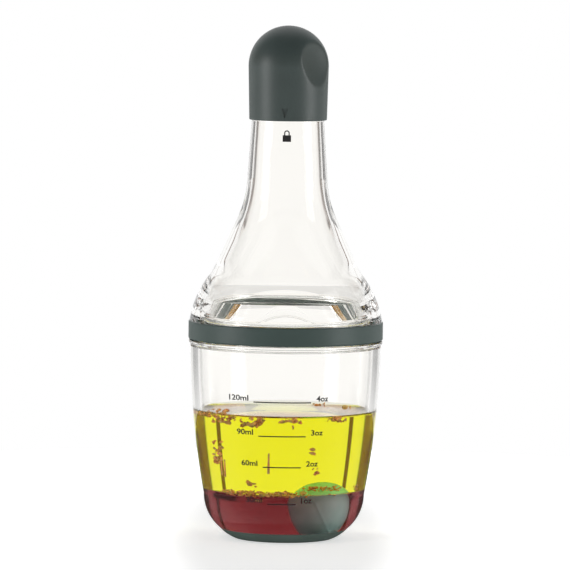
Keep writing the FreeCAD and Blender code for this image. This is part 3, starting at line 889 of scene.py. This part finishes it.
def dressing_wall(sizes, soak):
    """The cup's inner wall, from the middle of its floor to its shelf, moved a little into the plastic."""
    floor = sizes.bed + sizes.floor - soak
    bore = sizes.flange - sizes.flange_proud - sizes.wall + soak
    return outline([
        corner(bore, sizes.flange_top - sizes.shelf_depth, bow=-sizes.side_round),
        corner(sizes.waist - sizes.wall + soak, sizes.waist_height, bow=-sizes.bowl_round),
        corner(sizes.floor_radius, floor),
        corner(0.0, floor),
    ], closed=False)[::-1]


def wall_radius(wall, height):
    """The radius of a wall at a height."""
    for low, high in zip(wall, wall[1:]):
        if low.y <= height < high.y:
            return low.x + (high.x - low.x) * (height - low.y) / (high.y - low.y)
    raise ValueError("the wall does not reach this height")


def still_surface(wall, top, climb, reach_in):
    """A liquid's surface from the wall, where it climbs a little, to the bottle's axis."""
    rim = wall_radius(wall, top + climb)
    steps = 14
    points = []
    for step in range(steps):
        inset = 7 * reach_in * (step / (steps - 1)) ** 2
        points.append(Vector((rim - inset, top + climb * math.exp(-inset / reach_in))))
    return points + [Vector((rim / 2, top)), Vector((0.0, top))]


class BOTTLE_OT_ball(bpy.types.Operator):
    """Build the mixing ball with its moulding seam"""

    bl_idname = "bottle.ball"
    bl_label = "Mixing ball"

    def execute(self, context):
        scene = context.scene
        sizes = scene.bottle_dressing
        low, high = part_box("mixing_ball")
        radius = (high.z - low.z) / 2
        steps = 120
        points = []
        for step in range(steps + 1):
            rise = math.pi * (step / steps - 0.5)
            across = radius * rise / sizes.ball_seam_width
            here = radius - sizes.ball_seam * (1 - math.exp(-across ** 2))
            points.append(Vector((abs(here * math.cos(rise)), here * math.sin(rise))))
        points[0].x = points[-1].x = 0.0
        mesh = turn_outline(points, closed=False, steps=128)
        rotate(mesh, sizes.ball_tilt, "Y")
        bmesh.ops.translate(mesh, verts=mesh.verts, vec=(low + high) / 2)
        ball = link_mesh("shaker_ball", mesh)
        silicone = moulded("ball silicone", scene.bottle_finish)
        finish_piece(ball, "ball_body", silicone, ["mixing_ball"])
        return {"FINISHED"}


class BOTTLE_OT_liquids(bpy.types.Operator):
    """Fill the cup with a layer of vinegar and a layer of oil"""

    bl_idname = "bottle.liquids"
    bl_label = "Oil and vinegar"

    def execute(self, context):
        scene = context.scene
        sizes = scene.bottle_dressing
        finishes = scene.bottle_finish
        wall = dressing_wall(scene.bottle_cup, sizes.soak)
        border = still_surface(wall, sizes.vinegar_top, sizes.meniscus / 3, sizes.meniscus_reach)
        surface = still_surface(wall, sizes.oil_top, sizes.meniscus, sizes.meniscus_reach)
        below = [point for point in wall if point.y < border[0].y]
        beside = [point for point in wall if border[0].y < point.y < surface[0].y]
        sunk = [point - Vector((0.0, sizes.soak)) for point in border[::-1]]
        vinegar = link_mesh("vinegar", turn_outline(below + border, closed=False))
        oil = link_mesh("oil", turn_outline(sunk + beside + surface, closed=False))
        finish_piece(vinegar, "cup_body", liquid(
            "vinegar", finishes.vinegar_index, finishes.vinegar, finishes.vinegar_density, haze=0.16))
        finish_piece(oil, "cup_body", liquid(
            "oil", finishes.oil_index, finishes.oil, finishes.oil_density, haze=0.01))
        for layer in (vinegar, oil):
            layer.visible_shadow = False
        return {"FINISHED"}


# Groups of herbs in the dressing: form, middle (right, back, up), half spread and number, in millimetres
HERBS = [
    ("flake", (-25.0, -6.0, 45.6), (4.0, 9.0, 0.4), 30),
    ("flake", (-21.0, -19.0, 44.8), (5.0, 3.0, 1.2), 26),
    ("flake", (-11.0, -26.0, 44.3), (4.5, 1.5, 1.4), 24),
    ("flake", (2.0, -28.0, 44.9), (6.0, 1.0, 0.5), 8),
    ("flake", (19.0, -21.0, 45.2), (4.5, 2.0, 0.6), 12),
    ("flake", (13.0, 24.0, 45.8), (2.5, 2.0, 0.2), 4),
    ("flake", (23.0, 16.0, 45.8), (2.0, 2.0, 0.2), 4),
    ("flake", (-23.5, -16.0, 32.4), (3.2, 1.2, 4.0), 32),
    ("flake", (9.6, -26.0, 34.0), (0.6, 0.6, 0.9), 4),
    ("flake", (11.0, -25.0, 27.0), (1.0, 0.5, 1.2), 5),
    ("flake", (2.7, -28.5, 43.2), (0.4, 0.3, 0.5), 1),
    ("flake", (-11.0, -23.0, 22.0), (1.6, 0.8, 1.6), 9),
    ("flake", (24.0, -10.0, 20.0), (2.0, 3.0, 0.8), 8),
    ("flake", (-6.0, -21.0, 18.5), (14.0, 5.0, 0.9), 34),
    ("stick", (-5.3, -27.0, 29.6), (0.2, 0.2, 0.2), 1),
    ("stick", (-20.5, -17.0, 27.0), (1.0, 0.8, 1.2), 2),
    ("crumb", (-8.0, -19.0, 18.4), (13.0, 7.0, 1.0), 150),
    ("crumb", (8.0, 4.0, 18.0), (15.0, 18.0, 0.3), 60),
    ("crumb", (11.0, -9.0, 20.4), (6.0, 5.0, 0.8), 60),
    ("crumb", (-8.2, -23.0, 16.3), (1.0, 0.5, 0.6), 9),
]


def herb_flake(mesh, dice, sizes):
    size = sizes.flake * dice.uniform(0.55, 1.45)
    made = bmesh.ops.create_circle(mesh, segments=dice.randint(5, 8), radius=size, cap_ends=True)
    verts = made["verts"]
    for vert in verts:
        vert.co *= dice.uniform(0.6, 1.1)
        vert.co.y *= 0.6
        vert.co.z += dice.uniform(-0.12, 0.12) * size
    grown = bmesh.ops.extrude_face_region(mesh, geom=list(verts[0].link_faces))
    lifted = [part for part in grown["geom"] if isinstance(part, bmesh.types.BMVert)]
    bmesh.ops.translate(mesh, verts=lifted, vec=(0.0, 0.0, sizes.flake_thickness))
    return verts + lifted


def herb_crumb(mesh, dice, sizes):
    size = sizes.crumb * dice.uniform(0.4, 1.2)
    verts = bmesh.ops.create_icosphere(mesh, subdivisions=1, radius=size)["verts"]
    stretch = Vector((dice.uniform(0.7, 1.5), dice.uniform(0.7, 1.2), dice.uniform(0.4, 0.8)))
    for vert in verts:
        vert.co = vert.co * stretch * dice.uniform(0.8, 1.15)
    return verts


def herb_stick(mesh, dice, sizes):
    length_up = 6.0 * sizes.flake * dice.uniform(0.9, 1.1)
    verts = bmesh.ops.create_cone(
        mesh, segments=7, radius1=sizes.flake_thickness * 2.4, radius2=sizes.flake_thickness * 1.6,
        depth=length_up, cap_ends=True)["verts"]
    for vert in verts:
        vert.co.x += dice.uniform(-0.2, 0.2) * sizes.flake_thickness
    return verts


# How each form is made, how far it leans back from lying flat and how much that varies
HERB_FORMS = {
    "flake": (herb_flake, 1.1, 1.6),
    "crumb": (herb_crumb, 0.0, 3.0),
    "stick": (herb_stick, 0.0, 0.6),
}


def wall_keep(wall, place, margin):
    """A place moved towards the axis until it is clear of the wall."""
    room = wall_radius(wall, place.z) - margin
    out = math.hypot(place.x, place.y)
    share = min(1.0, room / out) if out else 1.0
    return Vector((place.x * share, place.y * share, place.z))


class BOTTLE_OT_herbs(bpy.types.Operator):
    """Scatter dried herbs on the oil, in it and on the vinegar"""

    bl_idname = "bottle.herbs"
    bl_label = "Herbs"

    def execute(self, context):
        scene = context.scene
        sizes = scene.bottle_dressing
        dice = random.Random(sizes.seed)
        wall = dressing_wall(scene.bottle_cup, 0.0)
        meshes = {form: bmesh.new() for form in HERB_FORMS}
        for form, middle, spans, number_of in HERBS:
            make, rise, tumble = HERB_FORMS[form]
            for _ in range(number_of):
                verts = make(meshes[form], dice, sizes)
                spin = Matrix.Rotation(dice.uniform(-tumble, tumble), 3, "Z")
                lean = Matrix.Rotation(rise + dice.uniform(-0.25, 0.25) * tumble, 3, "X")
                bmesh.ops.transform(meshes[form], matrix=(spin @ lean).to_4x4(), verts=verts)
                place = Vector([(mid + dice.uniform(-span, span)) * MM for mid, span in zip(middle, spans)])
                margin = max(math.hypot(vert.co.x, vert.co.y) for vert in verts) + 0.1 * MM
                bmesh.ops.translate(meshes[form], verts=verts, vec=wall_keep(wall, place, margin))
        leaf = dried_herb("herb leaf", [
            (0.30, (0.34, 0.09, 0.03)), (0.45, (0.66, 0.26, 0.05)), (0.55, (0.34, 0.26, 0.06)),
            (0.70, (0.70, 0.16, 0.05))], 0.6)
        seed = dried_herb("herb seed", [
            (0.30, (0.30, 0.08, 0.03)), (0.50, (0.70, 0.28, 0.05)), (0.62, (0.42, 0.28, 0.07)),
            (0.72, (0.85, 0.36, 0.06))], 0.55)
        for form, finish in (("flake", leaf), ("crumb", seed), ("stick", leaf)):
            bmesh.ops.recalc_face_normals(meshes[form], faces=meshes[form].faces)
            finish_piece(link_mesh(f"herb_{form}s", meshes[form]), "cup_body", finish)
        return {"FINISHED"}


# Prints

# Lines of the scale: height, width, left label and its width, right label and its width, in millimetres
SCALE = [
    (51.9, 20.8, "120ml", 7.9, "4oz", 4.6),
    (39.7, 17.0, "90ml", 6.4, "3oz", 4.5),
    (28.5, 13.6, "60ml", 6.2, "2oz", 4.4),
    (15.1, 10.1, "30ml", 6.2, "1oz", 4.0),
]
LABEL_GAP = 1.9 * MM
# The corners of the outer walls that are printed on
CUP_SIDE = slice(3, 6)
NECK_SIDE = slice(5, 8)


def letters(text, width, sizes):
    """A mesh of flat letters, their lower edge at zero and their middle over it."""
    curve = bpy.data.curves.new("letters", "FONT")
    curve.body = text
    curve.offset = sizes.letter_weight / sizes.letter_height
    curve.extrude = 0.5
    curve.resolution_u = 4
    thing = bpy.data.objects.new("letters", curve)
    bpy.context.scene.collection.objects.link(thing)
    flat = bpy.data.meshes.new_from_object(thing.evaluated_get(bpy.context.evaluated_depsgraph_get()))
    mesh = bmesh.new()
    mesh.from_mesh(flat)
    bpy.data.objects.remove(thing)
    bpy.data.curves.remove(curve)
    bpy.data.meshes.remove(flat)
    across = [vert.co.x for vert in mesh.verts]
    up = [vert.co.y for vert in mesh.verts]
    middle = (min(across) + max(across)) / 2
    bmesh.ops.translate(mesh, verts=mesh.verts, vec=(-middle, -min(up), 0.0))
    bmesh.ops.scale(mesh, verts=mesh.verts, vec=(
        width / (max(across) - min(across)), sizes.letter_height / (max(up) - min(up)), sizes.ink))
    return mesh


def flat_bar(width, height, depth, cuts):
    """A thin bar, cut across so that it can follow a curved wall."""
    mesh = bmesh.new()
    bmesh.ops.create_cube(mesh, size=1.0)
    along = [edge for edge in mesh.edges if abs(edge.verts[0].co.x - edge.verts[1].co.x) > 0.5]
    bmesh.ops.subdivide_edges(mesh, edges=along, cuts=cuts, use_grid_fill=True)
    bmesh.ops.scale(mesh, verts=mesh.verts, vec=(width, height, depth))
    return mesh


def wrap_print(target, mesh, turn, height, wall, lift):
    """Bend a flat print round a wall and add it to the target mesh."""
    for vert in mesh.verts:
        up = height + vert.co.y
        radius = wall_radius(wall, up)
        azimuth = turn + vert.co.x / radius
        out = radius + lift + vert.co.z
        vert.co = (out * math.sin(azimuth), -out * math.cos(azimuth), up)
    part = bpy.data.meshes.new("part")
    mesh.to_mesh(part)
    mesh.free()
    target.from_mesh(part)
    bpy.data.meshes.remove(part)


def shackle(sizes, steps=16):
    """The padlock's flat shackle, its bow about zero and its legs below."""
    low, high = -sizes.ink / 2, sizes.ink / 2
    inner, outer = sizes.shackle_radius - sizes.shackle_bar, sizes.shackle_radius
    mesh = bmesh.new()
    rows = []
    for radius, depth in ((inner, low), (outer, low), (outer, high), (inner, high)):
        path = [(radius, -sizes.shackle_leg)]
        for step in range(steps + 1):
            swing = math.pi * step / steps
            path.append((radius * math.cos(swing), radius * math.sin(swing)))
        path.append((-radius, -sizes.shackle_leg))
        rows.append([mesh.verts.new((across, up, depth)) for across, up in path])
    for row, beside in zip(rows, rows[1:] + rows[:1]):
        for near, far in zip(zip(row, beside), zip(row[1:], beside[1:])):
            mesh.faces.new((near[0], far[0], far[1], near[1]))
    for end in (0, -1):
        mesh.faces.new([row[end] for row in rows])
    bmesh.ops.recalc_face_normals(mesh, faces=mesh.faces)
    return mesh


class BOTTLE_OT_scale(bpy.types.Operator):
    """Print the volume scale on the cup"""

    bl_idname = "bottle.scale"
    bl_label = "Volume scale"

    def execute(self, context):
        scene = context.scene
        sizes = scene.bottle_print
        wall = outline(cup_corners(scene.bottle_cup)[CUP_SIDE], closed=False)
        target = bmesh.new()
        for height, width, left, left_width, right, right_width in SCALE:
            up = height * MM
            half = width * MM / 2
            wrap_print(target, flat_bar(width * MM, sizes.line_height, sizes.ink, cuts=32),
                       sizes.scale_turn, up, wall, sizes.lift)
            radius = wall_radius(wall, up)
            for text, text_width, side in ((left, left_width, -1), (right, right_width, 1)):
                along = side * (half + LABEL_GAP + text_width * MM / 2)
                wrap_print(target, letters(text, text_width * MM, sizes),
                           sizes.scale_turn + along / radius, up + sizes.label_rise, wall, sizes.lift)
        marks = link_mesh("scale_print", target)
        finish_piece(marks, "cup_body", printing_ink("scale ink", scene.bottle_finish.ink))
        return {"FINISHED"}


class BOTTLE_OT_lock(bpy.types.Operator):
    """Print the padlock sign under the cap's pointer"""

    bl_idname = "bottle.lock"
    bl_label = "Padlock sign"

    def execute(self, context):
        scene = context.scene
        sizes = scene.bottle_print
        wall = outline(neck_corners(scene.bottle_neck)[NECK_SIDE], closed=False)
        target = bmesh.new()
        body = flat_bar(sizes.lock_width, sizes.lock_body, sizes.ink, cuts=8)
        wrap_print(target, body, sizes.scale_turn, sizes.lock_height + sizes.lock_body / 2, wall, sizes.lift)
        shackle_foot = sizes.lock_height + sizes.lock_body + sizes.shackle_leg
        wrap_print(target, shackle(sizes), sizes.scale_turn, shackle_foot, wall, sizes.lift)
        sign = link_mesh("lock_print", target)
        finish_piece(sign, "neck_body", printing_ink("sign ink", scene.bottle_finish.ink))
        return {"FINISHED"}


# Stage

# How often light may turn inside the clear walls
LIGHT_TURNS = 32


def degrees(*values):
    return tuple(math.radians(value) for value in values)


# Where the studio changes: azimuths from straight behind the bottle, the start and the end of each change
STRIP_MIDDLE = math.radians(33.5)
STRIP_EDGE = degrees(0.9, 2.1)
SIDE_START = degrees(46.0, 52.0)
LOW_SIDE_START = degrees(16.0, 21.0)
LOW_SIDE_END = degrees(36.0, 42.0)
FRONT_START = degrees(70.0, 76.0)
# The same for heights and depths, as parts of a direction of length 1
LOW_SIDE_TOP = (-0.035, 0.0)
SIDE_FOOT = (-0.2, -0.05)
WARM_TOP = (0.28, 0.36)
CEILING_START = (0.35, 0.8)
CAMERA_END = (-0.8, -0.2)
# Levels and colours of the studio
STRIP_LIGHT = 0.1
WALL_LIGHT = 0.85
CEILING_LIGHT = 0.12
CAMERA_LIGHT = 0.35
DARK_SIDE = (0.16, 0.16, 0.16)
WARM_SIDE = (0.20, 0.085, 0.03)
# The floor's own glow, seen straight on, is dimmed near the bottle into a painted shadow that reaches five
# times further to the front and back than to the sides: distances in metres between which it rises, how much
# each axis counts, and its levels
PAINTED_SHADOW_REACH = (0.028, 0.06)
PAINTED_SHADOW_STRETCH = (1.0, 0.2, 0.0)
# Painted shadow: the dimmed level of the glow next to the bottle
PAINTED_SHADOW_LEVEL = 0.51
GLOW_FAR = 1.05
GLOW_SEEN_THROUGH = 0.5


def math_node(tree, operation, *values):
    node = add_node(tree, "Math", *values)
    node.operation = operation
    return node.outputs["Value"]


def product(tree, first, second):
    return math_node(tree, "MULTIPLY", first, second)


def larger(tree, first, second):
    return math_node(tree, "MAXIMUM", first, second)


def less(tree, first, second):
    return math_node(tree, "SUBTRACT", first, second)


def fade(tree, source, change, before, after):
    """A smooth change from one level to another."""
    start, end = change
    node = add_node(tree, "MapRange", Value=source, From_Min=start, From_Max=end, To_Min=before, To_Max=after)
    node.interpolation_type = "SMOOTHSTEP"
    return node.outputs["Result"]


def blend(tree, share, first, second):
    """A level between two others; the node's second socket, a share for vectors, is not used."""
    unused = (0.0, 0.0, 0.0)
    return add_node(tree, "Mix", share, unused, first, second).outputs["Result"]


def build_world(scene):
    """A white studio whose dark and brown sides only show in and through the clear plastic."""
    world = bpy.data.worlds.new("studio")
    world.use_nodes = True
    scene.world = world
    tree = world.node_tree
    ray = add_node(tree, "LightPath").outputs
    direction = add_node(tree, "TexCoord").outputs["Generated"]
    right, back, up = add_node(tree, "SeparateXYZ", Vector=direction).outputs
    azimuth = math_node(tree, "ARCTAN2", math_node(tree, "ABSOLUTE", right), back)
    off_strip = math_node(tree, "ABSOLUTE", less(tree, azimuth, STRIP_MIDDLE))
    wide = product(
        tree, fade(tree, off_strip, STRIP_EDGE, STRIP_LIGHT, 1.0), fade(tree, azimuth, SIDE_START, 1.0, 0.0))
    narrow = larger(
        tree, fade(tree, azimuth, LOW_SIDE_START, 1.0, 0.0), fade(tree, azimuth, LOW_SIDE_END, 0.0, 1.0))
    high = fade(tree, up, LOW_SIDE_TOP, 0.0, 1.0)
    front = product(tree, fade(tree, azimuth, FRONT_START, 0.0, 1.0), ray["Is Transmission Ray"])
    open_sides = larger(tree, blend(tree, high, narrow, wide), front)
    sides = product(tree, fade(tree, up, SIDE_FOOT, 0.0, 1.0), less(tree, 1.0, open_sides))
    room = product(
        tree, fade(tree, up, CEILING_START, WALL_LIGHT, CEILING_LIGHT),
        fade(tree, back, CAMERA_END, CAMERA_LIGHT, 1.0))
    clear = larger(tree, ray["Is Glossy Ray"], ray["Is Transmission Ray"])
    white = larger(tree, clear, ray["Is Camera Ray"])
    shown = less(tree, clear, ray["Is Camera Ray"])
    warm = product(tree, high, fade(tree, up, WARM_TOP, 1.0, 0.0))
    tone = product(tree, product(tree, sides, shown), blend(tree, warm, 0.5, 1.0))
    feed(tree.nodes["Background"], Strength=blend(tree, white, room, 1.0),
         Color=ramp(tree, tone, [(0.0, WHITE), (0.5, DARK_SIDE), (1.0, WARM_SIDE)]))


def build_floor(stage):
    """A pale floor that keeps the bottle's cast shadow, dims its glow near the bottle as a painted shadow,
    shows a painted dark grey in reflections, and melts into the white studio.
    """
    mesh = bmesh.new()
    bmesh.ops.create_circle(mesh, segments=96, radius=stage.floor_radius, cap_ends=True)
    bmesh.ops.translate(mesh, verts=mesh.verts, vec=(0.0, 0.0, -0.1 * MM))
    floor = link_mesh("floor", mesh)
    material, tree, shader = new_finish("pale floor")
    ray = add_node(tree, "LightPath").outputs
    speck = grain(tree, 300.0)
    # Painted shade in reflections: seen in a reflection, the floor's colour turns dark grey and it gives no
    # glow
    painted_dark_reflection = larger(tree, less(tree, ray["Is Glossy Ray"], ray["Is Transmission Ray"]), 0.0)
    tone = math_node(tree, "ADD", speck, painted_dark_reflection)
    near = add_node(tree, "VectorMath", object_place(tree), PAINTED_SHADOW_STRETCH)
    near.operation = "MULTIPLY"
    away = add_node(tree, "VectorMath", near.outputs["Vector"])
    away.operation = "LENGTH"
    # Painted shadow: the glow seen straight on is dimmed near the bottle, further to the front and back than
    # to the sides
    painted_shadow_glow = fade(tree, away.outputs["Value"], PAINTED_SHADOW_REACH, PAINTED_SHADOW_LEVEL, GLOW_FAR)
    other = larger(tree, ray["Is Transmission Ray"], ray["Is Diffuse Ray"])
    through = product(tree, other, GLOW_SEEN_THROUGH)
    stops = [(GRAIN_LOW, shade(WHITE, 0.80)), (GRAIN_HIGH, shade(WHITE, 0.83)), (1.0, shade(WHITE, 0.12))]
    feed(shader, Base_Color=ramp(tree, tone, stops), Roughness=spread(tree, speck, 0.75, 0.9),
         Specular_IOR_Level=0.1, Emission_Color=(*WHITE, 1.0),
         Emission_Strength=blend(tree, ray["Is Camera Ray"], through, painted_shadow_glow))
    floor.data.materials.append(material)


def build_lamps(scene, stage):
    """Two soft lamps beside the camera."""
    for side in (-1, 1):
        data = bpy.data.lights.new("soft lamp", "AREA")
        data.shape = "RECTANGLE"
        data.size = stage.lamp_width
        data.size_y = stage.lamp_tall
        data.energy = stage.lamp_power
        lamp = bpy.data.objects.new("soft lamp", data)
        place = Vector((
            side * stage.lamp_distance * math.sin(stage.lamp_azimuth),
            -stage.lamp_distance * math.cos(stage.lamp_azimuth), stage.lamp_height))
        lamp.location = place
        towards = Vector((0.0, 0.0, stage.view_height)) - place
        lamp.rotation_euler = towards.to_track_quat("-Z", "Y").to_euler()
        scene.collection.objects.link(lamp)


def build_camera(scene, stage):
    """The photo's view, a little from above."""
    data = bpy.data.cameras.new("photo camera")
    data.sensor_width = 36.0
    data.lens = data.sensor_width * stage.focal_pixels / stage.picture
    data.clip_start = 0.1
    data.clip_end = 20.0
    camera = bpy.data.objects.new("photo camera", data)
    aim = Vector((stage.view_side, 0.0, stage.view_height))
    camera.location = aim + stage.distance * Vector((0.0, -math.cos(stage.tilt), math.sin(stage.tilt)))
    turned = Matrix.Rotation(math.pi / 2 - stage.tilt, 3, "X") @ Matrix.Rotation(stage.roll, 3, "Z")
    camera.rotation_euler = turned.to_euler()
    scene.collection.objects.link(camera)
    scene.camera = camera


class BOTTLE_OT_stage(bpy.types.Operator):
    """Set up the floor, the studio light and the camera"""

    bl_idname = "bottle.stage"
    bl_label = "Stage"

    def execute(self, context):
        scene = context.scene
        scene.view_settings.view_transform = "Standard"
        build_world(scene)
        build_floor(scene.bottle_stage)
        build_lamps(scene, scene.bottle_stage)
        build_camera(scene, scene.bottle_stage)
        scene.cycles.max_bounces = LIGHT_TURNS
        scene.cycles.glossy_bounces = LIGHT_TURNS
        scene.cycles.transmission_bounces = LIGHT_TURNS
        return {"FINISHED"}


STEPS = [
    BOTTLE_OT_cup, BOTTLE_OT_foot, BOTTLE_OT_neck, BOTTLE_OT_band, BOTTLE_OT_gasket, BOTTLE_OT_cap,
    BOTTLE_OT_closure, BOTTLE_OT_ball, BOTTLE_OT_liquids, BOTTLE_OT_herbs, BOTTLE_OT_scale, BOTTLE_OT_lock,
    BOTTLE_OT_stage,
]


class BOTTLE_PT_pieces(bpy.types.Panel):
    """The steps that dress the bottle's frame"""

    bl_label = "Shaker bottle"
    bl_space_type = "VIEW_3D"
    bl_region_type = "UI"
    bl_category = "Bottle"

    def draw(self, context):
        column = self.layout.column()
        for step in STEPS:
            column.operator(step.bl_idname)


CLASSES = [*SETTINGS.values(), *STEPS, BOTTLE_PT_pieces]


def register():
    for part in CLASSES:
        bpy.utils.register_class(part)
    for name, group in SETTINGS.items():
        setattr(bpy.types.Scene, name, bpy.props.PointerProperty(type=group))


def unregister():
    for name in SETTINGS:
        delattr(bpy.types.Scene, name)
    for part in reversed(CLASSES):
        bpy.utils.unregister_class(part)


def main():
    register()
    bpy.ops.bottle.cup()
    bpy.ops.bottle.foot()
    bpy.ops.bottle.neck()
    bpy.ops.bottle.band()
    bpy.ops.bottle.gasket()
    bpy.ops.bottle.cap()
    bpy.ops.bottle.closure()
    bpy.ops.bottle.ball()
    bpy.ops.bottle.liquids()
    bpy.ops.bottle.herbs()
    bpy.ops.bottle.scale()
    bpy.ops.bottle.lock()
    bpy.ops.bottle.stage()


if __name__ == "__main__":
    main()
